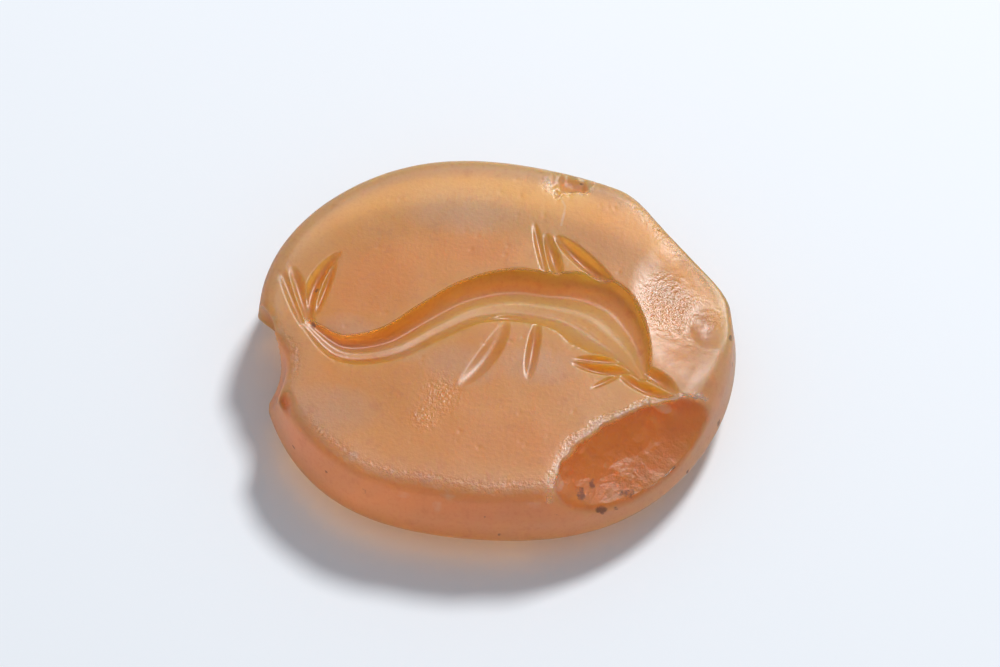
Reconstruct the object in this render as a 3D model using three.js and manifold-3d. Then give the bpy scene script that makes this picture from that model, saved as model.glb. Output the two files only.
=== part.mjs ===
// An engraved oval gemstone: a thin plate of translucent orange stone with a leaping dolphin cut
// into its face, worn and chipped. Millimetres, +Z up out of the face. The origin is the centre
// of the flat back, +X runs along the stone towards the dolphin's beak, and +Y is the side of
// the dolphin's back fin.

import * as THREE from 'three';
import { mergeVertices } from 'three/addons/utils/BufferGeometryUtils.js';
import Module from 'manifold-3d';

const wasm = await Module();
wasm.setup();

// Stone
const girdleLength = 16.3;
const girdleWidth = 13.9;
const thickness = 3.4;
const girdleHeight = 1.1;
const faceInset = 0.25;
const backInset = 1.85;
const faceEdgeWear = 0.45;
const girdleWear = 0.3;
const backEdgeWear = 0.2;
const outlineSides = 96;
const wearSteps = 3;

// The oval was ground by hand, so it wanders from a true ellipse in slow waves.
const outlineWaves = [
  { count: 3, swing: 0.095, peak: 20.2 },
  { count: 4, swing: 0.097, peak: 44.5 },
  { count: 5, swing: 0.055, peak: 23.2 },
  { count: 6, swing: 0.035, peak: 51.6 },
];

// Engraving: everything below it is in hundredths of the dolphin's length, from its middle.
const dolphinLength = 13.8;
const dolphinTurn = -4.9;
const dolphinPlace = { x: 0.19, y: 0.12 };
const cutHeadroom = 0.6;

// The body from the tail to the root of the beak: its middle line, width and depth.
const bodyStations = [
  { x: -45.5, y: -8, width: 2.4, depth: 0.6 },
  { x: -36, y: -13, width: 7, depth: 3 },
  { x: -25, y: -9.6, width: 9, depth: 4.2 },
  { x: -16, y: -1.5, width: 10.5, depth: 5 },
  { x: -8, y: 5.2, width: 12, depth: 5.4 },
  { x: 1, y: 8.8, width: 14, depth: 5.7 },
  { x: 10, y: 9.4, width: 14.6, depth: 5.8 },
  { x: 16.5, y: 9.2, width: 17.6, depth: 5.8 },
  { x: 22, y: 7.4, width: 19.6, depth: 5.6 },
  { x: 27, y: 3.8, width: 17, depth: 5.2 },
  { x: 31.2, y: -0.4, width: 11.4, depth: 4.2 },
  { x: 36, y: -7.4, width: 3.2, depth: 1.4 },
];

// Across the body, from the back at 1 to the belly at -1: two grooves with a ridge between.
const bodyHollow = [
  { across: -0.98, share: 0.03 },
  { across: -0.7, share: 0.42 },
  { across: -0.42, share: 0.78 },
  { across: -0.26, share: 0.72 },
  { across: -0.08, share: 0.6 },
  { across: 0.1, share: 0.7 },
  { across: 0.36, share: 1 },
  { across: 0.62, share: 0.92 },
  { across: 0.85, share: 0.55 },
  { across: 0.98, share: 0.05 },
];
const bodySteps = 36;

// Single strokes of the engraver's wheel: lens-shaped cuts that run out at both ends.
const wheelStrokes = [
  { part: 'back fin, rear ray', from: [3.3, 28.6], to: [8.3, 16], width: 1.7, depth: 0.95 },
  { part: 'back fin, middle ray', from: [6.5, 26.6], to: [12, 15], width: 3, depth: 1.7 },
  { part: 'back fin, front edge', from: [9, 26.6], to: [25, 15.5], width: 4, depth: 2.8 },
  { part: 'left fluke, outer', from: [-46, -9], to: [-54.7, 5.6], width: 2.4, depth: 1.1 },
  { part: 'left fluke, inner', from: [-44.4, -8.4], to: [-52, 6.4], width: 3.2, depth: 1.5 },
  { part: 'right fluke', from: [-44.6, -8.4], to: [-42.2, 12.4], bow: 2.6, width: 3.4, depth: 1.9 },
  { part: 'right fluke, inner', from: [-44, -5], to: [-42.3, 9.4], width: 1.7, depth: 1.3 },
  { part: 'flipper, upper', from: [19.8, -5.8], to: [36.4, -3], width: 2.2, depth: 1.7 },
  { part: 'flipper, lower', from: [19.4, -7.2], to: [34.4, -6.2], bow: -0.9, width: 2.5, depth: 1.9 },
  { part: 'beak, upper', from: [33.2, -5.4], to: [44.8, -10.8], bow: 0.8, width: 3.4, depth: 2 },
  { part: 'beak, lower', from: [30.6, -8.2], to: [44.8, -12], bow: -0.9, width: 2.6, depth: 1.8 },
  { part: 'cheek stroke', from: [25.2, -12.6], to: [30.6, -8.2], width: 1.1, depth: 0.5 },
  { part: 'belly fold', from: [-6.4, 1.6], to: [10.2, 5], bow: 1, width: 4.4, depth: 3.8 },
  { part: 'front belly fin', from: [8.7, 2], to: [9.2, -12.6], width: 2.6, depth: 1.2 },
  { part: 'rear belly fin', from: [1.2, -0.4], to: [-5.4, -16.8], bow: 0.8, width: 4, depth: 0.8 },
];
const strokeSteps = 10;
const strokeRunOut = 0.04;
const strokeHollow = [-1.15, -0.7, -0.25, 0.25, 0.7, 1.15];

// Breaks and worn places on the rim. Each is a bowl centred at a bearing round the outline,
// outside the girdle by out and above the face by above. Its half sizes are across the rim,
// along it and down, and turn swings it about the vertical.
const rimBreaks = [
  { place: 'big flake at the front', bearing: -40, out: 2.5, above: 0.3, turn: 46, half: [5.7, 4.25, 1.75] },
  { place: 'worn dish by the beak', bearing: 14, out: -0.55, above: 7.56, turn: 0, half: [8, 8, 8] },
  { place: 'scar in the dish', bearing: 9, out: -0.95, above: 0.55, turn: 0, half: [1.1, 1.2, 1.2] },
  { place: 'straight wear at the back', bearing: 40, out: 0.69, above: 0.2, turn: 0, half: [1.5, 8, 3.6] },
  { place: 'notch at the tail', bearing: 197, out: 1.1, above: 0, turn: 0, half: [1.95, 1.9, 2.9] },
  { place: 'break under the notch', bearing: 188, out: 0.5, above: -2.1, turn: -15, half: [1.67, 1.86, 2.6] },
  { place: 'crumbled edge by the notch', bearing: 212, out: 0.15, above: 0.15, turn: 0, half: [0.8, 1.15, 0.9] },
  { place: 'nick at the back', bearing: 74, out: -0.55, above: 0.4, turn: 0, half: [0.85, 1.1, 0.75] },
  { place: 'nick at the front', bearing: 263, out: 0.05, above: 0.1, turn: 0, half: [0.5, 0.4, 0.6] },
  { place: 'nick by the flake', bearing: 285, out: 0.05, above: 0.1, turn: 0, half: [0.55, 0.5, 0.55] },
  { place: 'bruised front edge', bearing: 250, out: 0.15, above: 0.2, turn: 0, half: [0.55, 1.3, 0.6] },
];
const bowlSides = 32;
const bowlRows = 20;

// Colour of the stone
const carnelian = new THREE.MeshStandardMaterial({
  color: 0xb67a55,
  roughness: 0.35,
  metalness: 0,
});

// A point of the outline at a bearing in degrees, moved in from the girdle.
function outlinePoint(bearing, inset) {
  const turn = THREE.MathUtils.degToRad(bearing);
  let wander = 0;
  for (const wave of outlineWaves) {
    wander += wave.swing * Math.cos(wave.count * THREE.MathUtils.degToRad(bearing - wave.peak));
  }
  const reach = wander - inset;
  return new THREE.Vector2(
    (girdleLength / 2 + reach) * Math.cos(turn),
    (girdleWidth / 2 + reach) * Math.sin(turn),
  );
}

// The way straight out of the girdle at a bearing, as an angle about the vertical.
function outwardAngle(bearing) {
  const turn = THREE.MathUtils.degToRad(bearing);
  return Math.atan2(Math.sin(turn) / girdleWidth, Math.cos(turn) / girdleLength);
}

// Joins closed loops of equal length into one closed body. Each loop turns anticlockwise when
// it is seen from the next, and both ends are closed by a fan about their middle.
function joinLoops(loops) {
  const sides = loops[0].length;
  const points = loops.flat();
  const faces = [];
  for (let row = 0; row < loops.length - 1; row++) {
    for (let side = 0; side < sides; side++) {
      const next = (side + 1) % sides;
      const a = row * sides + side;
      const b = row * sides + next;
      const c = a + sides;
      const d = b + sides;
      faces.push(a, b, d, a, d, c);
    }
  }
  const firstMiddle = points.length;
  const lastMiddle = firstMiddle + 1;
  const lastRow = (loops.length - 1) * sides;
  points.push(middleOf(loops[0]), middleOf(loops[loops.length - 1]));
  for (let side = 0; side < sides; side++) {
    const next = (side + 1) % sides;
    faces.push(firstMiddle, next, side);
    faces.push(lastMiddle, lastRow + side, lastRow + next);
  }
  const geometry = new THREE.BufferGeometry().setFromPoints(points);
  geometry.setIndex(faces);
  return geometry;
}

function middleOf(loop) {
  const sum = new THREE.Vector3();
  for (const point of loop) {
    sum.add(point);
  }
  return sum.divideScalar(loop.length);
}

function toSolid(geometry) {
  const bare = geometry.clone();
  bare.deleteAttribute('normal');
  bare.deleteAttribute('uv');
  const merged = mergeVertices(bare);
  return new wasm.Manifold(new wasm.Mesh({
    numProp: 3,
    vertProperties: Float32Array.from(merged.attributes.position.array),
    triVerts: Uint32Array.from(merged.index.array),
  }));
}

function toGeometry(solid) {
  const mesh = solid.getMesh();
  const geometry = new THREE.BufferGeometry();
  geometry.setAttribute('position', new THREE.BufferAttribute(mesh.vertProperties, 3));
  geometry.setIndex(new THREE.BufferAttribute(mesh.triVerts, 1));
  geometry.computeVertexNormals();
  return geometry;
}

// Rounds a corner of the stone's profile, taking wear off each of its sides.
function wornCorner(before, corner, after, wear) {
  const towards = (end) => {
    const side = end.clone().sub(corner);
    return corner.clone().add(side.setLength(Math.min(wear, side.length() / 2)));
  };
  return new THREE.QuadraticBezierCurve(towards(before), corner, towards(after)).getPoints(wearSteps);
}

// The stone before it was engraved and chipped. Its profile is inset against height.
function stoneBlank() {
  const backMiddle = new THREE.Vector2(girdleWidth / 2, 0);
  const backEdge = new THREE.Vector2(backInset, 0);
  const girdle = new THREE.Vector2(0, girdleHeight);
  const faceEdge = new THREE.Vector2(faceInset, thickness);
  const faceMiddle = new THREE.Vector2(girdleWidth / 2, thickness);
  const profile = [
    ...wornCorner(backMiddle, backEdge, girdle, backEdgeWear),
    ...wornCorner(backEdge, girdle, faceEdge, girdleWear),
    ...wornCorner(girdle, faceEdge, faceMiddle, faceEdgeWear),
  ];
  const loops = profile.map(({ x: inset, y: height }) => {
    const loop = [];
    for (let side = 0; side < outlineSides; side++) {
      const { x, y } = outlinePoint((360 * side) / outlineSides, inset);
      loop.push(new THREE.Vector3(x, y, height));
    }
    return loop;
  });
  return toSolid(joinLoops(loops));
}

// From the dolphin's own drawing to its place on the face.
function onFace(x, y) {
  const point = new THREE.Vector2(x, y).multiplyScalar(dolphinLength / 100);
  point.rotateAround(new THREE.Vector2(), THREE.MathUtils.degToRad(dolphinTurn));
  return point.add(dolphinPlace);
}

// A cutter that follows a path in the face. At each step it has a loop of points: a lid above
// the face and the hollow below it, given as distance to the left of the path and depth.
function cutterAlong(path, steps, hollowAt) {
  const unit = dolphinLength / 100;
  const loops = [];
  for (let step = 0; step <= steps; step++) {
    const { middle, left, hollow } = hollowAt(path, step / steps);
    const first = hollow[0];
    const last = hollow[hollow.length - 1];
    const loop = [{ aside: last.aside, high: cutHeadroom }, { aside: first.aside, high: cutHeadroom }];
    for (const { aside, depth } of hollow) {
      loop.push({ aside, high: -depth * unit });
    }
    loops.push(loop.map(({ aside, high }) => {
      const { x, y } = onFace(middle.x + left.x * aside, middle.y + left.y * aside);
      return new THREE.Vector3(x, y, thickness + high);
    }));
  }
  return toSolid(joinLoops(loops));
}

function leftOf(tangent) {
  return new THREE.Vector2(-tangent.y, tangent.x).normalize();
}

function bodyCutter() {
  const spine = new THREE.SplineCurve(bodyStations.map(({ x, y }) => new THREE.Vector2(x, y)));
  const girth = new THREE.SplineCurve(bodyStations.map(({ width, depth }) => new THREE.Vector2(width, depth)));
  return cutterAlong(spine, bodySteps, (path, t) => {
    const { x: width, y: depth } = girth.getPoint(t);
    return {
      middle: path.getPoint(t),
      left: leftOf(path.getTangent(t)),
      hollow: bodyHollow.map(({ across, share }) => ({ aside: (across * width) / 2, depth: share * depth })),
    };
  });
}

// A wheel stroke's floor is an arc along it and across it, so its edge draws out to two points.
function strokeCutter({ from, to, bow = 0, width, depth }) {
  const start = new THREE.Vector2(...from);
  const end = new THREE.Vector2(...to);
  const middle = start.clone().add(end).divideScalar(2);
  const left = leftOf(end.clone().sub(start));
  const path = new THREE.QuadraticBezierCurve(start, middle.addScaledVector(left, 2 * bow), end);
  return cutterAlong(path, strokeSteps, (curve, share) => {
    const t = -strokeRunOut + share * (1 + 2 * strokeRunOut);
    return {
      middle: curve.getPoint(t),
      left: leftOf(curve.getTangent(THREE.MathUtils.clamp(t, 0, 1))),
      hollow: strokeHollow.map((across) => ({
        aside: (across * width) / 2,
        depth: depth * (4 * t * (1 - t) - across * across),
      })),
    };
  });
}

function rimBreakCutter({ bearing, out, above, turn, half }) {
  const bowl = new THREE.SphereGeometry(1, bowlSides, bowlRows);
  bowl.rotateX(Math.PI / 2);
  bowl.scale(...half);
  bowl.rotateZ(outwardAngle(bearing) + THREE.MathUtils.degToRad(turn));
  const { x, y } = outlinePoint(bearing, -out);
  bowl.translate(x, y, thickness + above);
  return toSolid(bowl);
}

function engravedStone() {
  let stone = stoneBlank().subtract(bodyCutter());
  for (const stroke of wheelStrokes) {
    stone = stone.subtract(strokeCutter(stroke));
  }
  for (const rimBreak of rimBreaks) {
    stone = stone.subtract(rimBreakCutter(rimBreak));
  }
  return toGeometry(stone);
}

const gem = new THREE.Mesh(engravedStone(), carnelian);
gem.name = 'gem';

const group = new THREE.Group();
group.add(gem);

export default group;
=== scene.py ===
import math

import bpy
import numpy as np
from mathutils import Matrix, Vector, noise


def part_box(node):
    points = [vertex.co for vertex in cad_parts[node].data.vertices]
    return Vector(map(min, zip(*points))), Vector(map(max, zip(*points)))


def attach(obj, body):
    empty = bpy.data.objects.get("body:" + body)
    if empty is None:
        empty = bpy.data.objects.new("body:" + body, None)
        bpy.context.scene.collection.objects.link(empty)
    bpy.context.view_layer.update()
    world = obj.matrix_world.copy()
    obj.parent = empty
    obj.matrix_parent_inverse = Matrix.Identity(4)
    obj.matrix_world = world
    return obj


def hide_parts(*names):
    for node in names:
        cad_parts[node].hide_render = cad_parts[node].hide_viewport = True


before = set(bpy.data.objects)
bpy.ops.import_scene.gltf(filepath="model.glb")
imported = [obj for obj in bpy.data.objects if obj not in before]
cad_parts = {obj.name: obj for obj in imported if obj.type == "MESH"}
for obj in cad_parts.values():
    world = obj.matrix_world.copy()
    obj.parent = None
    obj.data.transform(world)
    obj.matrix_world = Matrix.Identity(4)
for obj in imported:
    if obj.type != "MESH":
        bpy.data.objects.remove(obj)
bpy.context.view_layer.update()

mm = 0.001
gemLow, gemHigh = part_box("gem")
print("frame loaded, the stone is", [round(side / mm, 2) for side in gemHigh - gemLow], "mm")


# Helpers for node trees and colours

def addNode(tree, kind, settings=None, inputs=None):
    node = tree.nodes.new(kind)
    for name, value in (settings or {}).items():
        setattr(node, name, value)
    for socket, value in (inputs or {}).items():
        if isinstance(value, bpy.types.NodeSocket):
            tree.links.new(value, node.inputs[socket])
        else:
            node.inputs[socket].default_value = value
    return node


def linearColour(hexColour):
    shares = [int(hexColour[at:at + 2], 16) / 255 for at in (1, 3, 5)]
    linear = [share / 12.92 if share <= 0.04045 else ((share + 0.055) / 1.055) ** 2.4 for share in shares]
    return (*linear, 1.0)


# The stone's blank, in millimetres as it was cut. Insets are measured in from the girdle.
stone = {
    "girdleLength": 16.3,
    "girdleWidth": 13.9,
    "thickness": gemHigh.z / mm,
    "girdleHeight": 1.1,
    "faceInset": 0.25,
    "backInset": 1.85,
    "faceEdgeWear": [(0, 0.9), (25, 0.55), (60, 0.45), (120, 0.45), (165, 0.55), (195, 0.5), (225, 0.42),
                     (290, 0.4), (315, 0.6), (345, 1.0)],  # bearing and mm
    "frontSlope": [(204, 0), (232, 0.2), (262, 0.34), (290, 0.32), (314, 0)],  # lost at the face, in mm
    "slopeFoot": 2.1,  # the height that the front slope comes down to
    "slopeWander": [(13, 0.12, 0), (31, 0.05, 1)],  # count, swing and phase of the slope's unevenness
    "girdleWear": 0.3,
    "backEdgeWear": 0.2,
    "waves": [(3, 0.095, 20.2), (4, 0.097, 44.5), (5, 0.055, 23.2), (6, 0.035, 51.6)],  # count, swing, peak
    "keepInside": 0.012,  # the fine mesh stays this far inside the plain solid
    "faceCells": 258,
    "crowding": 0.35,  # how much closer the face's rows lie in the middle, where the dolphin is
    # The rim's paler, pinker tint is partly its frosted surface and partly painted light, let in through the
    # bevel and scattered at the thin border.
    "biteFade": 60,  # powers of the reach by which the bites and the rim's tint fade in from the border
    "rimFade": 14,
    "backTint": 0.3,  # how much of the rim's tint the back keeps
    "cornerSteps": 4,
    "wallSteps": 9,
    "bevelSteps": 3,
    "backSteps": 3,
}

# Breaks that go down through the rim: bearing, distance outside the girdle, height above the face,
# turn, then half sizes across the rim, along it and down
rimBites = [
    ("straight wear at the back", 40, 0.69, 0.2, 0, (1.5, 8, 3.6)),
    ("notch at the tail", 197, 1.1, 0, 0, (1.95, 1.9, 2.9)),
    ("break under the notch", 188, 0.5, -2.1, -15, (1.67, 1.86, 2.6)),
]
biteWear = 0.32  # mm, how softly the bites meet the rim
biteSharpness = 0.35  # how much of the ground edge's wear a bite takes off, in full from biteFull mm on
biteFull = 0.4


def outlinePoint(bearing, inset):
    turn = np.radians(bearing)
    wander = sum(swing * np.cos(count * np.radians(bearing - peak)) for count, swing, peak in stone["waves"])
    reach = wander - inset - stone["keepInside"]
    return ((stone["girdleLength"] / 2 + reach) * np.cos(turn),
            (stone["girdleWidth"] / 2 + reach) * np.sin(turn))


def outwardAngle(bearing):
    turn = math.radians(bearing)
    return math.atan2(math.sin(turn) / stone["girdleWidth"], math.cos(turn) / stone["girdleLength"])


def softOver(value, soft):
    # Nothing where the value is below zero, the value itself above, with a worn corner between
    return np.maximum(value, 0) + np.maximum(soft - np.abs(value), 0) ** 2 / (4 * soft)


def biteInset(bearing, height, bite):
    # How far in from the girdle a bite's far wall is, at each bearing
    name, at, out, above, turn, half = bite
    baseX, baseY = outlinePoint(bearing, 0)
    centreX, centreY = outlinePoint(at, -out)
    angle = outwardAngle(at) + math.radians(turn)
    cos, sin = math.cos(angle), math.sin(angle)

    def along(x, y):
        return (x * cos + y * sin) / half[0], (y * cos - x * sin) / half[1]

    startAcross, startAlong = along(baseX - centreX, baseY - centreY)
    stepAcross, stepAlong = along(-np.cos(np.radians(bearing)), -np.sin(np.radians(bearing)))
    down = (height - stone["thickness"] - above) / half[2]
    a = stepAcross ** 2 + stepAlong ** 2
    b = startAcross * stepAcross + startAlong * stepAlong
    c = startAcross ** 2 + startAlong ** 2 + down ** 2 - 1
    spread = np.sqrt(np.maximum(b * b - a * c, 0))
    facing = np.cos(np.radians(bearing - at)) > 0
    return np.where(facing & (spread > 0), (spread - b) / a, -1)


def wallInset(height):
    return np.interp(height, [0, stone["girdleHeight"], stone["thickness"]],
                     [stone["backInset"], 0, stone["faceInset"]])


def bittenInset(bearing, height):
    deepest = np.max([biteInset(bearing, height, bite) for bite in rimBites], axis=0)
    return softOver(deepest - wallInset(height), biteWear)


def sharpened(inset, height, bitten):
    # A bite leaves a sharper corner than the ground edge had
    corner = inset - wallInset(height)
    return wallInset(height) + corner * (1 - biteSharpness * np.clip(bitten / biteFull, 0, 1)) + bitten


def faceEdgeWear(bearing):
    at, wear = np.array(stone["faceEdgeWear"]).T
    return np.interp(bearing, at, wear, period=360)


def frontSlope(bearing, height):
    # The front edge was knocked and rubbed into an uneven slope
    at, lost = np.array(stone["frontSlope"]).T
    turn = np.radians(bearing)
    uneven = 1
    for count, swing, phase in stone["slopeWander"]:
        uneven = uneven + swing * np.sin(count * turn + phase)
    share = np.clip((height - stone["slopeFoot"]) / (stone["thickness"] - stone["slopeFoot"]), 0, 1)
    return np.interp(bearing, at, lost, period=360) * share * uneven


def wornCorner(before, corner, after, wear):
    # The rounded corner as rows of inset and height, one for each step and bearing
    before, corner, after = (np.array(point, float) for point in (before, corner, after))
    start, end = (corner + (side - corner) / np.linalg.norm(side - corner) * wear[:, None]
                  for side in (before, after))
    share = np.linspace(0, 1, stone["cornerSteps"] + 1)[:, None, None]
    return (1 - share) ** 2 * start + 2 * share * (1 - share) * corner + share ** 2 * end


def straight(start, end, steps):
    share = np.linspace(0, 1, steps + 1)[1:-1, None, None]
    return start * (1 - share) + end * share


def sideProfile(bearing):
    middle = stone["girdleWidth"] / 2
    faceEdge = (stone["faceInset"], stone["thickness"])
    girdle = (0, stone["girdleHeight"])
    backEdge = (stone["backInset"], 0)
    even = np.ones(len(bearing))
    top = wornCorner((middle, stone["thickness"]), faceEdge, girdle, faceEdgeWear(bearing))
    waist = wornCorner(faceEdge, girdle, backEdge, stone["girdleWear"] * even)
    foot = wornCorner(girdle, backEdge, (middle, 0), stone["backEdgeWear"] * even)
    return np.concatenate([top, straight(top[-1], waist[0], stone["wallSteps"]), waist,
                           straight(waist[-1], foot[0], stone["bevelSteps"]), foot])


def stoneBlank():
    # The face is a square grid drawn into the oval. Rings carry its border down the side.
    cells = stone["faceCells"]
    step = np.linspace(-1, 1, cells + 1)
    u, v = np.meshgrid(step, step - stone["crowding"] * np.sin(np.pi * step) / np.pi)
    discX, discY = u * np.sqrt(1 - v * v / 2), v * np.sqrt(1 - u * u / 2)
    bearing, reach = np.degrees(np.arctan2(discY, discX)), np.hypot(discX, discY)
    bitten = bittenInset(bearing, stone["thickness"])
    edge = sharpened(stone["faceInset"] + faceEdgeWear(bearing), stone["thickness"], bitten)
    lost = frontSlope(bearing, stone["thickness"])
    edgeX, edgeY = outlinePoint(bearing, edge + lost)
    points = [np.stack([(reach * edgeX).ravel(), (reach * edgeY).ravel(),
                        np.full(reach.size, stone["thickness"])], 1)]
    bites = [((bitten + lost) * reach ** stone["biteFade"]).ravel()]
    rims = [(reach ** stone["rimFade"]).ravel()]
    index = np.arange((cells + 1) ** 2).reshape(cells + 1, cells + 1)
    faces = [np.stack([index[:-1, :-1], index[:-1, 1:], index[1:, 1:], index[1:, :-1]], -1).reshape(-1, 4)]
    ring = np.concatenate([index[0, :-1], index[:-1, -1], index[-1, :0:-1], index[:0:-1, 0]])
    bearing = bearing.ravel()[ring]
    start = len(points[0])

    def addRing(x, y, height, bite):
        nonlocal ring, start
        points.append(np.stack([x, y, height], 1))
        bites.append(bite)
        rims.append(np.clip(height / stone["slopeFoot"], stone["backTint"], 1))
        lower = start + np.arange(len(x))
        faces.append(np.stack([ring, lower, np.roll(lower, -1), np.roll(ring, -1)], 1))
        ring, start = lower, start + len(x)

    for inset, height in sideProfile(bearing).transpose(0, 2, 1)[1:]:
        bitten, lost = bittenInset(bearing, height), frontSlope(bearing, height)
        x, y = outlinePoint(bearing, sharpened(inset, height, bitten) + lost)
        addRing(x, y, height, bitten + lost)
    for share in np.linspace(1, 0, stone["backSteps"] + 1)[1:-1]:
        addRing(x * share, y * share, height, bitten * 0)
    points.append(np.zeros((1, 3)))
    bites.append([0])
    rims.append([0])
    fan = np.stack([np.full(len(ring), start), np.roll(ring, -1), ring], 1)
    return np.vstack(points), np.concatenate(bites), np.concatenate(rims), np.vstack(faces), fan


# The engraving, in hundredths of the dolphin's length and from its middle
dolphin = {
    "length": 13.8,
    "turn": -4.9,
    "place": (0.19, 0.12),
    "lipWear": 0.13,  # mm, how softly a cut breaks the face
    "stations": [  # x, y, width and depth of the body, from tail to beak
        (-45.5, -8, 2.4, 0.6), (-36, -13, 7, 3), (-25, -9.6, 9, 4.2), (-16, -1.5, 10.5, 5),
        (-8, 5.2, 12, 5.4), (1, 8.8, 14, 5.7), (10, 9.4, 14.6, 5.8), (16.5, 9.2, 17.6, 5.8),
        (22, 7.4, 19.6, 5.6), (27, 3.8, 17, 5.2), (31.2, -0.4, 11.4, 4.2), (36, -7.4, 3.2, 1.4),
    ],
    "hollow": [  # across the body, from belly to back, and the share of its depth there
        (-1.5, -1), (-1.12, -0.02), (-0.92, 0.14), (-0.72, 0.42), (-0.48, 0.76), (-0.3, 0.76), (-0.08, 0.42),
        (0.1, 0.62), (0.36, 1), (0.62, 0.92), (0.85, 0.55), (0.98, 0.05), (1.3, -1),
    ],
    "rubbed": (-0.27, -0.18, -0.09, 0, 0.09, 0.18, 0.27),  # the hollow is the mean of itself shifted so
    "rubFade": ((0.3, 0.8), (1, 0.3)),  # across the body, and the share of that shift there
    "lipOut": 0.02,  # mm outside the body's edge, where its chipped lip lies
    "lipWidth": 0.12,
    "lipStrength": (0.8, 0.25),  # along the back and along the belly
    "lipReach": 1.6,  # in half widths of the body, past which no lip runs on beyond the tail
    "strokes": [  # from x, y to x, y, then bow, width and depth
        ("back fin, rear ray", 3.3, 28.6, 8.3, 16, 0, 1.7, 0.95),
        ("back fin, middle ray", 6.5, 26.6, 12, 15, 0, 3, 1.7),
        ("back fin, front edge", 9, 26.6, 25, 15.5, 0, 4, 2.8),
        ("left fluke, outer", -46, -9, -54.7, 5.6, 0, 2.4, 1.1),
        ("left fluke, inner", -44.4, -8.4, -52, 6.4, 0, 3.2, 1.5),
        ("right fluke", -44.6, -8.4, -42.2, 12.4, 2.6, 3.4, 1.9),
        ("right fluke, inner", -44, -5, -42.3, 9.4, 0, 1.7, 1.3),
        ("flipper, upper", 19.8, -5.8, 36.4, -3, 0, 2.2, 1.7),
        ("flipper, lower", 19.4, -7.2, 34.4, -6.2, -0.9, 2.5, 1.9),
        ("beak, upper", 33.2, -5.4, 44.8, -10.8, 0.8, 3.4, 2),
        ("beak, lower", 30.6, -8.2, 44.8, -12, -0.9, 2.6, 1.8),
        ("cheek stroke", 25.2, -12.6, 30.6, -8.2, 0, 1.1, 0.5),
        ("belly fold", -6.4, 1.6, 10.2, 5, 1, 4.4, 3.8),
        ("front belly fin", 8.7, 2, 9.2, -12.6, 0, 2.6, 1.2),
        ("rear belly fin", 1.2, -0.4, -5.4, -16.8, 0.8, 4, 0.8),
    ],
    "bodyBox": (-4, 46, 24),  # the x of the body's middle, and how far it reaches along and across
    "spineSamples": 420,
    "spineGap": 0.4,  # lies between two samples, and is passed over
    "faintest": -2.0,  # a cut's own height above the face is followed no further than this
}


def splineAt(rows, share):
    # A uniform Catmull-Rom spline, as the body's middle line is drawn
    rows = np.array(rows, float)
    place = np.clip(share, 0, 1) * (len(rows) - 1)
    knot = np.minimum(place.astype(int), len(rows) - 2)
    t = (place - knot)[:, None]
    a, b = rows[np.maximum(knot - 1, 0)], rows[knot]
    c, d = rows[knot + 1], rows[np.minimum(knot + 2, len(rows) - 1)]
    return b + 0.5 * t * (c - a + t * (2 * a - 5 * b + 4 * c - d + t * (3 * (b - c) + d - a)))


def toDrawing(x, y):
    turn = math.radians(dolphin["turn"])
    unit = dolphin["length"] / 100
    x, y = (x - dolphin["place"][0]) / unit, (y - dolphin["place"][1]) / unit
    return x * math.cos(turn) + y * math.sin(turn), -x * math.sin(turn) + y * math.cos(turn)


def bodyDepth(x, y):
    samples = splineAt(dolphin["stations"], np.linspace(0, 1, dolphin["spineSamples"]))
    tangent = np.gradient(samples[:, :2], axis=0)
    tangent /= np.linalg.norm(tangent, axis=1)[:, None]
    across, shares = np.array(dolphin["hollow"]).T
    depth, side = np.full(x.shape, dolphin["faintest"]), np.zeros(x.shape)
    middle, halfLength, halfWidth = dolphin["bodyBox"]
    near = np.flatnonzero((np.abs(x - middle) < halfLength) & (np.abs(y) < halfWidth))
    for part in np.array_split(near, 24):  # in parts, to spare memory
        gap = (x[part, None] - samples[:, 0]) ** 2 + (y[part, None] - samples[:, 1]) ** 2
        at = gap.argmin(1)
        asideX, asideY = x[part] - samples[at, 0], y[part] - samples[at, 1]
        aside = asideY * tangent[at, 0] - asideX * tangent[at, 1]
        along = np.abs(asideX * tangent[at, 0] + asideY * tangent[at, 1])
        along = np.maximum(along - dolphin["spineGap"], 0)
        aside = 2 * aside / samples[at, 2]
        rubbed = np.interp(aside, *dolphin["rubFade"])
        share = np.mean([np.interp(aside + rub * rubbed, across, shares) for rub in dolphin["rubbed"]], 0)
        depth[part], side[part] = share * samples[at, 3] - along, aside
    return np.maximum(depth, dolphin["faintest"]), side


def strokeDepth(x, y, stroke):
    name, fromX, fromY, toX, toY, bow, width, depth = stroke
    runX, runY = toX - fromX, toY - fromY
    length = math.hypot(runX, runY)
    t = ((x - fromX) * runX + (y - fromY) * runY) / length ** 2
    aside = ((y - fromY) * runX - (x - fromX) * runY) / length - 4 * bow * t * (1 - t)
    return np.maximum(depth * (4 * t * (1 - t) - (2 * aside / width) ** 2), dolphin["faintest"])


def nearness(distance, width):
    # Full close by, and gone a little past the width
    return np.clip(1.3 - np.abs(distance) / width, 0, 1)


def engravedDepth(x, y):
    drawnX, drawnY = toDrawing(x, y)
    body, side = bodyDepth(drawnX, drawnY)
    depth = body
    for stroke in dolphin["strokes"]:
        depth = np.maximum(depth, strokeDepth(drawnX, drawnY, stroke))
    unit = dolphin["length"] / 100
    lip = nearness(body * unit + dolphin["lipOut"], dolphin["lipWidth"])
    lip *= np.where(side > 0, *dolphin["lipStrength"]) * (np.abs(side) < dolphin["lipReach"])
    return softOver(depth * unit, dolphin["lipWear"]), lip


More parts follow.
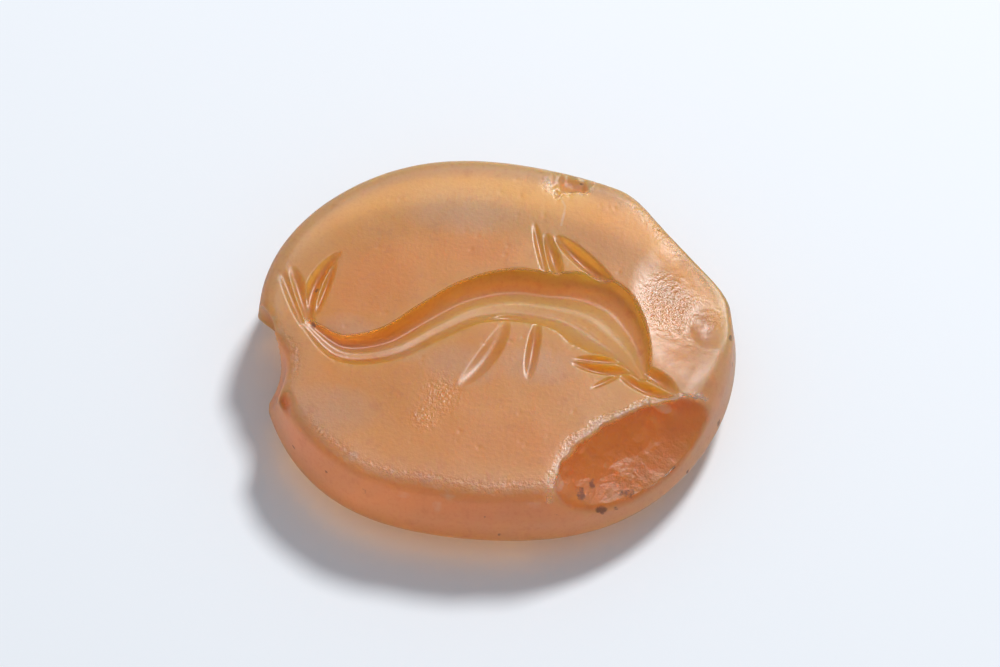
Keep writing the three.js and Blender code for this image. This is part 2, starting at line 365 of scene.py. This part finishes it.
# Flakes and nicks that open upwards: bearing, distance outside the girdle, height above the face,
# turn, half sizes across the rim, along it and down, then how ragged, worn, rippled and crested they are
rimFlakes = [
    ("big flake at the front", -40, 2.5, 0.3, 46, (5.7, 4.25, 1.75), 0.16, 0.5, 0.8, 1),
    ("worn dish by the beak", 14, -0.55, 7.56, 0, (8, 8, 8), 0.06, 0.25, 0, 0),
    ("scar in the dish", 9, -0.95, 0.7, 0, (1.1, 1.2, 1.2), 0.15, 0.25, 0, 0.3),
    ("crumbled edge by the notch", 212, 0.2, 0.15, 0, (0.7, 1.1, 0.75), 0.16, 0.12, 0.6, 0.4),
    ("nick at the back", 74, -0.45, 0.4, 20, (0.8, 0.95, 0.68), 0.5, 0.12, 0.3, 0.8),
    ("nick at the front", 263, 0.05, 0.1, 0, (0.5, 0.4, 0.6), 0.1, 0.1, 0.5, 0.3),
    ("nick by the flake", 285, 0.05, 0.1, 0, (0.55, 0.5, 0.55), 0.1, 0.1, 0.5, 0.3),
    ("bruised front edge", 250, 0.15, 0.2, 0, (0.55, 1.3, 0.6), 0.14, 0.1, 0.6, 0.5),
]
raggedSize = 0.9  # mm, the usual length of a step in a ragged edge
raggedSeed = 3  # the noise starts from the time of day where it has no seed
crestWidth = 0.2  # mm, of the rubbed crest round a break, whose white is frosting and a painted highlight
crestOut = 0.14  # mm, how far outside the break it lies
crestDepth = 0.5  # mm below the face, under which no crest shows


def raggedShift(points):
    # A smooth wander of each point, the same every time
    noise.seed_set(raggedSeed)
    return np.array([noise.noise_vector(Vector(point) / raggedSize)
                     + 0.5 * noise.noise_vector(Vector(point) / raggedSize * 3) for point in points])


def flakeLevel(x, y, rimFlake):
    name, bearing, out, above, turn, half = rimFlake[:6]
    centreX, centreY = outlinePoint(bearing, -out)
    angle = outwardAngle(bearing) + math.radians(turn)
    acrossX, acrossY = math.cos(angle), math.sin(angle)
    across = ((x - centreX) * acrossX + (y - centreY) * acrossY) / half[0]
    along = ((y - centreY) * acrossX - (x - centreX) * acrossY) / half[1]
    bowl = 1 - across ** 2 - along ** 2
    reach = np.hypot(across, along)
    high = np.where(bowl > 0, -np.sqrt(np.maximum(bowl, 0)), 1.5 * (reach - 1))
    outside = (reach - math.sqrt(max(1 - (above / half[2]) ** 2, 0))) * half[1]
    return stone["thickness"] + above + half[2] * high, outside


def breakAway(points):
    # Lowers the points over each flake to its floor. Gives how rippled each one is and how near a crest.
    wander = raggedShift(points)
    broken, crest = np.zeros((2, len(points)))
    for rimFlake in rimFlakes:
        ragged, wear, rippled, crested = rimFlake[-4:]
        x, y = (points[:, :2] + ragged * wander[:, :2]).T
        level, outside = flakeLevel(x, y, rimFlake)
        lowered = softOver(points[:, 2] - level, wear)
        points[:, 2] -= lowered
        broken = np.maximum(broken, rippled * np.clip(lowered / 0.1 - 0.4, 0, 1))  # not on its worn edge
        # The crest is whitened in the colour: frosting, and a painted highlight
        crest = np.maximum(crest, crested * nearness(outside - crestOut, crestWidth))
    return broken, crest * (points[:, 2] > stone["thickness"] - crestDepth)


# The crack runs in from the nick at the back, on the face alone
crack = [(1.2, 6.1), (1.33, 5.6), (1.7, 5.28), (1.92, 4.9), (1.86, 4.15)]
crackWidth = 0.09
crackFoot = 2  # mm, the height it goes down to

# Places that the years marked, and patches of painted sheen, shade and highlight: the middle of each and its
# half sizes, in millimetres
marks = {
    "soiled": [
        (7.36, -0.89, 3.21, 0.16, 0.16, 0.3), (7.84, 0.65, 2.85, 0.22, 0.26, 0.4),
        (7.7, -1.9, 1.6, 0.17, 0.32, 0.3), (3.42, -5.57, 2.7, 0.3, 0.42, 0.4),
        (4.68, -5.16, 2.28, 0.44, 0.24, 0.3), (5, -5.15, 2.22, 0.3, 0.34, 0.3),
        (4.16, -5.88, 2.24, 0.5, 0.2, 0.4), (3.75, -5.15, 2.6, 0.2, 0.36, 0.4),
        (2.71, -6.36, 2.54, 0.27, 0.14, 0.3), (2.47, -6.08, 2.93, 0.27, 0.12, 0.3),
        (0.34, -6.67, 2.57, 0.14, 0.14, 0.3), (0.86, -6.74, 1.61, 0.17, 0.12, 0.2),
        (-3.66, -6.12, 2.56, 0.22, 0.12, 0.2), (-5.02, -5.47, 2.51, 0.22, 0.14, 0.2),
        (6.35, -4.06, 2.2, 0.17, 0.17, 0.2), (6.78, -3.68, 1.35, 0.17, 0.14, 0.2),
        (-6, 0.96, 3.17, 0.13, 0.16, 0.3), (-5.95, -0.45, 3.28, 0.17, 0.27, 0.3),
        (5.9, 4.6, 3, 0.2, 0.15, 0.4), (-6.17, -4.43, 2.09, 0.22, 0.17, 0.2),
        (2.38, 5.96, 3.05, 0.17, 0.17, 0.3), (4.57, -5.68, 2.06, 0.22, 0.12, 0.2),
        (3.69, -6.03, 2.55, 0.17, 0.12, 0.2), (7.95, 0.05, 2.19, 0.12, 0.14, 0.2),
    ],
    # Frosted bruises, the crack added below, and some painted highlights
    "bruised": [
        (-4.04, -5.18, 3.38, 0.28, 0.22, 0.4), (-1.22, -6.48, 2.61, 0.3, 0.22, 0.7),
        (-0.91, -6.31, 3.13, 0.5, 0.27, 0.3), (1.89, -6.21, 2.9, 0.5, 0.27, 0.4),
        (-7.26, -0.32, 3.38, 0.17, 0.17, 0.3), (-2.35, -6.35, 2.95, 0.5, 0.22, 0.3),
        # These two, at the big flake's crest ends, are frosting and a painted highlight
        (2.72, -5.55, 3.2, 0.27, 0.6, 0.6), (5.85, -2.38, 3.2, 0.6, 0.26, 0.5),
        # (5.6, 1.85) over the worn dish is a painted highlight
        (5.2, 4.9, 3.1, 0.25, 0.2, 0.4), (5.6, 1.85, 3.5, 1.1, 1, 0.8),
    ],
    "rough": [
        (-1.5, -2.7, 4.1, 1.1, 1.5, 1), (-1.9, -3.6, 4.1, 0.9, 0.9, 1),
        (5.6, 1.5, 3.1, 1.3, 1.4, 2), (7.2, 1.26, 2.8, 0.5, 0.6, 0.6),
    ],
    # Painted sheen and light: paler patches where the satin face catches the light
    "pale": [
        (-0.92, -1.51, 3.4, 1.4, 0.9, 1.5), (1.6, -1.3, 3.4, 1.6, 0.8, 1.5),
        (-4.86, -0.75, 3.4, 1.3, 0.9, 1.5), (-3.02, -0.98, 2.9, 1.3, 0.7, 1.5),
        (-1.6, 4.5, 3.4, 2.6, 1.1, 1.5), (-5, -3.6, 3.4, 1.7, 1.1, 1.5),
    ],
    # Painted shade: deeper orange where the stone sits on its flat back and less light comes up through it
    "paintedShade": [
        (-4.3, 1.5, 3.4, 1.9, 1.6, 1.5), (3.4, 4.1, 3.4, 1.7, 1.5, 1.5), (1.2, -4.2, 3.4, 3, 1.1, 1.5),
        (-0.8, 2.9, 3.4, 1.5, 0.8, 1.5),
    ],
}


def marked(points, places):
    field = np.zeros(len(points))
    for x, y, z, *half in places:
        away = np.linalg.norm((points - (x, y, z)) / half, axis=1)
        field = np.maximum(field, np.clip(1 - away ** 2, 0, 1))
    return field


def cracked(points):
    away = np.full(len(points), 9.0)
    for start, end in zip(np.array(crack[:-1]), np.array(crack[1:])):
        run = end - start
        share = np.clip((points[:, :2] - start) @ run / (run @ run), 0, 1)
        away = np.minimum(away, np.linalg.norm(points[:, :2] - start - share[:, None] * run, axis=1))
    return np.clip(1.5 - away / crackWidth * 1.5, 0, 1) * (points[:, 2] > crackFoot)


# How far the bites and the cuts show in the surface's fields
shown = {
    "ripplesInBites": 0.2,
    "ripplesFull": 0.5,  # mm of bite from which on they show in full
    "frayedFaceEdge": 0.7,  # the face's edge beside a bite
    "frayedFull": 0.2,  # mm of bite
    "frayedDepth": 0.12,  # mm below the face
    "glowingCut": 0.4,  # mm of depth from which on a cut has its full painted glow, the lighter amber for light through its thin walls
    "glowFrom": -3.5,  # the x where that painted glow sets in, as the tail has none, and how soon it is full
    "glowRun": 2,
}


def carvedMesh():
    points, bites, rims, quads, fan = stoneBlank()
    faceCount = (stone["faceCells"] + 1) ** 2
    depth, lip = np.zeros(len(points)), np.zeros(len(points))
    depth[:faceCount], lip[:faceCount] = engravedDepth(points[:faceCount, 0], points[:faceCount, 1])
    points[:, 2] = np.minimum(points[:, 2] - depth, stone["thickness"] - stone["keepInside"])
    broken, crest = breakAway(points)
    fields = {name: marked(points, places) for name, places in marks.items()}
    bitten = shown["ripplesInBites"] * np.clip(bites / shown["ripplesFull"], 0, 1)
    fields["broken"] = np.maximum(broken, bitten)
    fields["bruised"] = np.maximum(fields["bruised"], cracked(points))
    faceEdge = (shown["frayedFaceEdge"] * np.clip(bites / shown["frayedFull"], 0, 1)
                * (points[:, 2] > stone["thickness"] - shown["frayedDepth"]))
    # Lips, crests and the frayed face edge are chipped and frosted white; on the flake's crest the white is
    # also a painted highlight
    fields["lip"] = np.max([lip, crest, faceEdge], axis=0)
    # The rim's field: a paler tint, partly frosting and partly painted light let in through the bevel, and a
    # matter finish
    fields["rim"] = rims
    # Painted glow: the cuts are tinted a lighter amber for light coming through their thin walls
    fields["engraved"] = (np.clip(depth / shown["glowingCut"], 0, 1)
                          * np.clip((points[:, 0] - shown["glowFrom"]) / shown["glowRun"], 0, 1))
    mesh = bpy.data.meshes.new("engravedGem")
    mesh.from_pydata((points * mm).tolist(), [], quads.tolist() + fan.tolist())
    for name, values in fields.items():
        mesh.attributes.new(name, "FLOAT", "POINT").data.foreach_set("value", values.astype(np.float32))
    mesh.shade_smooth()
    mesh.update()
    return mesh


gemMesh = carvedMesh()
print("stone carved,", len(gemMesh.polygons), "faces")


# Carnelian, a translucent orange chalcedony, ground flat and polished, then frosted by wear and
# burial. Light goes right through it, so the floor glows through and thin parts turn amber. Some light
# and shade is also painted into the colour: a glow in the cuts, a paler rim, sheen and highlights, and deeper
# orange shade.
stoneLook = {
    "clarity": 0.7,
    "ior": 1.54,
    "absorbed": "#fcd400",  # what one density length of the stone leaves of white light
    "density": 300,  # per metre
    "scatterRadius": (1.0, 0.68, 0.15),
    "scatterScale": 2,  # mm
    "grains": {  # size in mm and detail
        "clouds": (5, 3), "grain": (0.13, 6), "mottle": (0.5, 5), "flecks": (0.25, 5), "specks": (0.14, 4),
    },
    "grainRoughness": 0.55,
    "ground": "#f6bc50",
    "tints": [  # laid over the ground: what it follows, where that sets in and is full, its share and colour
        ("clouds", 0.38, 0.66, 1, "#f8c868"),
        # the rim: partly frosted, partly painted light let in through the bevel
        ("rim", 0, 1, 0.75, "#f8d0a4"),
        # painted sheen and light, paler where the face catches the light
        ("pale", 0, 1, 0.6, "#e4cca8"),
        # painted shade, deeper orange where less light comes up through the stone
        ("paintedShade", 0, 1, 0.5, "#f0aa3c"),
        # painted glow in the cuts, lighter amber for light through their thin walls
        ("engraved", 0, 1, 0.9, "#ffdc90"),
        ("broken", 0, 0.8, 0.8, "#f09826"),
        ("grain", 0.5, 0.75, 0.35, "#d9995c"),
        ("mottle", 0.57, 0.8, 0.5, "#c98a50"),
        # white of bruises and the crack, and painted highlights over the dish and the flake's crest
        ("bruised + flecks", 1.1, 1.7, 0.75, "#fff0dc"),
        # lips and crests: frosting of chipped edges, on the flake's crest also a painted highlight
        ("lip + flecks", 1.1, 1.7, 0.75, "#fff0dc"),
        ("soiled + specks", 1.12, 1.4, 0.75, "#565056"),
    ],
    "polish": (0.36, 0.18),  # roughness of the rubbed face and of fresh facets, which glitter
    "mattRim": 0.2,  # how matt the rim is, beside soil
    "dulling": (0, 0.4),  # roughness that a clean and a matt place add
    "bumps": (0.12, 1.0),  # strength on the rubbed face and in the breaks
    "bumpHeight": 0.04,  # mm
}


def carnelian():
    material = bpy.data.materials.new("carnelian")
    material.use_nodes = True
    tree = material.node_tree
    tree.nodes.clear()
    place = addNode(tree, "ShaderNodeTexCoord").outputs["Object"]
    follows = {}
    for name, (size, detail) in stoneLook["grains"].items():
        grains = addNode(tree, "ShaderNodeTexNoise", None,
                         {"Vector": place, "Scale": 1 / (size * mm), "Detail": detail,
                          "Roughness": stoneLook["grainRoughness"]})
        follows[name] = grains.outputs["Fac"]
    for name in (*marks, "broken", "lip", "rim", "engraved"):
        follows[name] = addNode(tree, "ShaderNodeAttribute", {"attribute_name": name}).outputs["Fac"]
    for name in ("bruised + flecks", "lip + flecks", "soiled + specks", "rough + lip"):
        first, second = name.split(" + ")
        both = addNode(tree, "ShaderNodeMath", {"operation": "ADD"}, {0: follows[first], 1: follows[second]})
        follows[name] = both.outputs[0]

    colour = linearColour(stoneLook["ground"])
    for name, low, high, most, tint in stoneLook["tints"]:
        share = addNode(tree, "ShaderNodeMapRange", None, {
            "Value": follows[name], "From Min": low, "From Max": high, "To Min": 0, "To Max": most})
        laid = addNode(tree, "ShaderNodeMix", {"data_type": "RGBA"},
                       {0: share.outputs["Result"], 6: colour, 7: linearColour(tint)})
        colour, dirty = laid.outputs[2], share.outputs["Result"]  # the last tint is the soil's

    mattRim = addNode(tree, "ShaderNodeMapRange", None, {
        "Value": follows["rim"], "From Min": 0, "From Max": 1, "To Min": 0, "To Max": stoneLook["mattRim"]})
    matt = addNode(tree, "ShaderNodeMath", {"operation": "ADD"}, {0: dirty, 1: mattRim.outputs["Result"]})
    frayed = follows["rough + lip"]
    uneven = addNode(tree, "ShaderNodeMath", {"operation": "ADD"}, {0: frayed, 1: follows["broken"]})
    gloss, dulled, strength = (
        addNode(tree, "ShaderNodeMapRange", None, {
            "Value": value, "From Min": 0, "From Max": 1, "To Min": least, "To Max": most}).outputs["Result"]
        for value, (least, most) in (
            (frayed, stoneLook["polish"]), (matt.outputs[0], stoneLook["dulling"]),
            (uneven.outputs[0], stoneLook["bumps"])))
    roughness = addNode(tree, "ShaderNodeMath", {"operation": "ADD"}, {0: gloss, 1: dulled})
    bump = addNode(tree, "ShaderNodeBump", None, {
        "Height": follows["grain"], "Strength": strength, "Distance": stoneLook["bumpHeight"] * mm})
    shader = addNode(tree, "ShaderNodeBsdfPrincipled", None, {
        "Base Color": colour,
        "Roughness": roughness.outputs[0],
        "Normal": bump.outputs["Normal"],
        "IOR": stoneLook["ior"],
        "Subsurface Weight": 1.0,
        "Subsurface Radius": stoneLook["scatterRadius"],
        "Subsurface Scale": stoneLook["scatterScale"] * mm,
        "Transmission Weight": stoneLook["clarity"],
    })
    depths = addNode(tree, "ShaderNodeVolumeAbsorption", None,
                     {"Color": linearColour(stoneLook["absorbed"]), "Density": stoneLook["density"]})
    addNode(tree, "ShaderNodeOutputMaterial", None,
            {"Surface": shader.outputs["BSDF"], "Volume": depths.outputs["Volume"]})
    return material


# The small wear of handling and burial, laid over the carved mesh by one node tree
wear = {
    "Dip size": 2.4 * mm,
    "Dip depth": 0.03 * mm,
    "Ripple size": 0.4 * mm,
    "Ripple depth": 0.13 * mm,
    "Chip size": 0.11 * mm,
    "Chip depth": 0.016 * mm,
    "Pits per square metre": 9e5,
    "Largest pit": 0.12 * mm,
    "Pit depth": 0.008 * mm,
    "Seed": 7,
}


def wearTree():
    tree = bpy.data.node_groups.new("surfaceWear", "GeometryNodeTree")
    tree.interface.new_socket("Geometry", in_out="INPUT", socket_type="NodeSocketGeometry")
    for name, value in wear.items():
        kind = "NodeSocketInt" if isinstance(value, int) else "NodeSocketFloat"
        tree.interface.new_socket(name, in_out="INPUT", socket_type=kind).default_value = value
    tree.interface.new_socket("Material", in_out="INPUT", socket_type="NodeSocketMaterial")
    tree.interface.new_socket("Geometry", in_out="OUTPUT", socket_type="NodeSocketGeometry")
    given = addNode(tree, "NodeGroupInput").outputs
    normal = addNode(tree, "GeometryNodeInputNormal").outputs["Normal"]
    place = addNode(tree, "GeometryNodeInputPosition").outputs["Position"]
    broken, lip = (addNode(tree, "GeometryNodeInputNamedAttribute", {"data_type": "FLOAT"},
                           {"Name": name}).outputs["Attribute"] for name in ("broken", "lip"))

    # Dips lie all over, ripples in the breaks and chips on the lips and crests. Each is sunk along the normal.
    worn = given["Geometry"]
    for name, detail, where in (("Dip", 2, 1.0), ("Ripple", 3, broken), ("Chip", 2, lip)):
        scale = addNode(tree, "ShaderNodeMath", {"operation": "DIVIDE"}, {0: 1.0, 1: given[name + " size"]})
        uneven = addNode(tree, "ShaderNodeTexNoise", None, {"Scale": scale.outputs[0], "Detail": detail})
        amount = uneven.outputs["Fac"]
        for factor in (given[name + " depth"], where, -1.0):
            amount = addNode(tree, "ShaderNodeMath", {"operation": "MULTIPLY"},
                             {0: amount, 1: factor}).outputs[0]
        shift = addNode(tree, "ShaderNodeVectorMath", {"operation": "SCALE"}, {0: normal, "Scale": amount})
        worn = addNode(tree, "GeometryNodeSetPosition", None,
                       {"Geometry": worn, "Offset": shift.outputs[0]}).outputs["Geometry"]

    # Each point is sunk by the pit whose middle is nearest, if it lies in it
    spots = addNode(tree, "GeometryNodeDistributePointsOnFaces", None,
                    {"Mesh": worn, "Density": given["Pits per square metre"], "Seed": given["Seed"]})
    radius = addNode(tree, "FunctionNodeRandomValue", {"data_type": "FLOAT"},
                     {2: 0.25, 3: 1.0, "Seed": given["Seed"]})
    nearest = addNode(tree, "GeometryNodeSampleNearest", {"domain": "POINT"},
                      {"Geometry": spots.outputs["Points"], "Sample Position": place})
    pitPlace, pitSize = (
        addNode(tree, "GeometryNodeSampleIndex", {"data_type": kind, "domain": "POINT"},
                {"Geometry": spots.outputs["Points"], "Value": value,
                 "Index": nearest.outputs["Index"]}).outputs["Value"]
        for kind, value in (("FLOAT_VECTOR", place), ("FLOAT", radius.outputs[1])))
    away = addNode(tree, "ShaderNodeVectorMath", {"operation": "DISTANCE"}, {0: place, 1: pitPlace})
    width = addNode(tree, "ShaderNodeMath", {"operation": "MULTIPLY"}, {0: pitSize, 1: given["Largest pit"]})
    bowl = addNode(tree, "ShaderNodeMapRange", {"interpolation_type": "SMOOTHSTEP"},
                   {"Value": away.outputs["Value"], "From Min": 0.0, "From Max": width.outputs[0],
                    "To Min": 1.0, "To Max": 0.0})
    depth = bowl.outputs["Result"]
    for factor in (pitSize, given["Pit depth"], -1.0):
        depth = addNode(tree, "ShaderNodeMath", {"operation": "MULTIPLY"}, {0: depth, 1: factor}).outputs[0]
    shift = addNode(tree, "ShaderNodeVectorMath", {"operation": "SCALE"}, {0: normal, "Scale": depth})
    pitted = addNode(tree, "GeometryNodeSetPosition", None, {"Geometry": worn, "Offset": shift.outputs[0]})
    whole = addNode(tree, "GeometryNodeRealizeInstances", None, {"Geometry": pitted.outputs["Geometry"]})
    dressed = addNode(tree, "GeometryNodeSetMaterial", None,
                      {"Geometry": whole.outputs["Geometry"], "Material": given["Material"]})
    addNode(tree, "NodeGroupOutput", None, {"Geometry": dressed.outputs["Geometry"]})
    return tree


def throughTree(mesh, name, tree, material):
    carrier = bpy.data.objects.new(name + "Carrier", mesh)
    bpy.context.scene.collection.objects.link(carrier)
    modifier = carrier.modifiers.new("wear", "NODES")
    modifier.node_group = tree
    for socket in tree.interface.items_tree:
        if socket.in_out == "INPUT" and socket.name == "Material":
            modifier[socket.identifier] = material
        elif socket.in_out == "INPUT" and socket.name in wear:
            modifier[socket.identifier] = wear[socket.name]
    evaluated = carrier.evaluated_get(bpy.context.evaluated_depsgraph_get())
    finished = bpy.data.meshes.new_from_object(evaluated)
    for vertex in finished.vertices:  # no worn corner may stand above the face
        vertex.co.z = min(vertex.co.z, gemHigh.z - stone["keepInside"] * mm)
    finished.name = name
    bpy.data.objects.remove(carrier)
    piece = bpy.data.objects.new(name, finished)
    bpy.context.scene.collection.objects.link(piece)
    return piece


stoneMaterial = carnelian()
gem = throughTree(gemMesh, "engravedGem", wearTree(), stoneMaterial)
gem.data.materials.clear()
gem.data.materials.append(stoneMaterial)
gem.data.shade_smooth()
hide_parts("gem")
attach(gem, "root")
print("stone worn and dressed,", len(gem.data.polygons), "faces")


# The plain pale floor
floorLook = {
    "half": 0.35,  # metres from the middle to each side
    "colour": "#ebeff3",
    "roughness": 0.9,
    "specular": 0.1,
}


def paleFloor():
    half = floorLook["half"]
    mesh = bpy.data.meshes.new("paleFloor")
    corners = [(-half, -half, 0), (half, -half, 0), (half, half, 0), (-half, half, 0)]
    mesh.from_pydata(corners, [], [(0, 1, 2, 3)])
    floor = bpy.data.objects.new("paleFloor", mesh)
    bpy.context.scene.collection.objects.link(floor)
    # Matt white card, faintly blue
    material = bpy.data.materials.new("mattCard")
    material.use_nodes = True
    shader = material.node_tree.nodes["Principled BSDF"]
    shader.inputs["Base Color"].default_value = linearColour(floorLook["colour"])
    shader.inputs["Roughness"].default_value = floorLook["roughness"]
    shader.inputs["Specular IOR Level"].default_value = floorLook["specular"]
    mesh.materials.append(material)
    return floor


paleFloor()


# Studio light: one soft lamp behind and to the right, and an even white surround
studio = {
    "lampBearing": 25.4,  # degrees from +Y towards +X
    "lampElevation": 53,
    "lampDistance": 0.3,  # metres
    "lampSize": 0.063,
    "lampPower": 0.72,  # watts
    "surround": 0.44,
    "surroundColour": "#f2f6ff",
}


def lightStudio():
    turn, rise = math.radians(studio["lampBearing"]), math.radians(studio["lampElevation"])
    towards = Vector((math.sin(turn) * math.cos(rise), math.cos(turn) * math.cos(rise), math.sin(rise)))
    light = bpy.data.lights.new("softLamp", "AREA")
    light.shape = "DISK"
    light.size = studio["lampSize"]
    light.energy = studio["lampPower"]
    lamp = bpy.data.objects.new("softLamp", light)
    lamp.location = towards * studio["lampDistance"]
    lamp.rotation_mode = "QUATERNION"
    lamp.rotation_quaternion = towards.to_track_quat("Z", "Y")
    bpy.context.scene.collection.objects.link(lamp)
    world = bpy.data.worlds.new("whiteSurround")
    world.use_nodes = True
    background = world.node_tree.nodes["Background"]
    background.inputs["Color"].default_value = linearColour(studio["surroundColour"])
    background.inputs["Strength"].default_value = studio["surround"]
    bpy.context.scene.world = world


lightStudio()


# The camera looks down from the front, as in the photograph
view = {
    "azimuth": 5.6,  # degrees from -Y towards +X
    "elevation": 60,
    "lens": 200,
    "sensor": 36,
    "distance": 185 * mm,
    "clip": 20,  # the camera sees from a 20th of its distance to 20 times that
    "target": (0.148 * mm, 0.598 * mm, 1.975 * mm),
}


def placeCamera():
    turn, rise = math.radians(view["azimuth"]), math.radians(view["elevation"])
    back = Vector((math.sin(turn) * math.cos(rise), -math.cos(turn) * math.cos(rise), math.sin(rise)))
    data = bpy.data.cameras.new("camera")
    data.lens, data.sensor_width = view["lens"], view["sensor"]
    data.clip_start, data.clip_end = view["distance"] / view["clip"], view["distance"] * view["clip"]
    camera = bpy.data.objects.new("camera", data)
    camera.location = Vector(view["target"]) + back * view["distance"]
    camera.rotation_mode = "QUATERNION"
    camera.rotation_quaternion = (-back).to_track_quat("-Z", "Y")
    bpy.context.scene.collection.objects.link(camera)
    bpy.context.scene.camera = camera


placeCamera()
bpy.context.scene.view_settings.view_transform = "Standard"
print("stage, light and camera set")
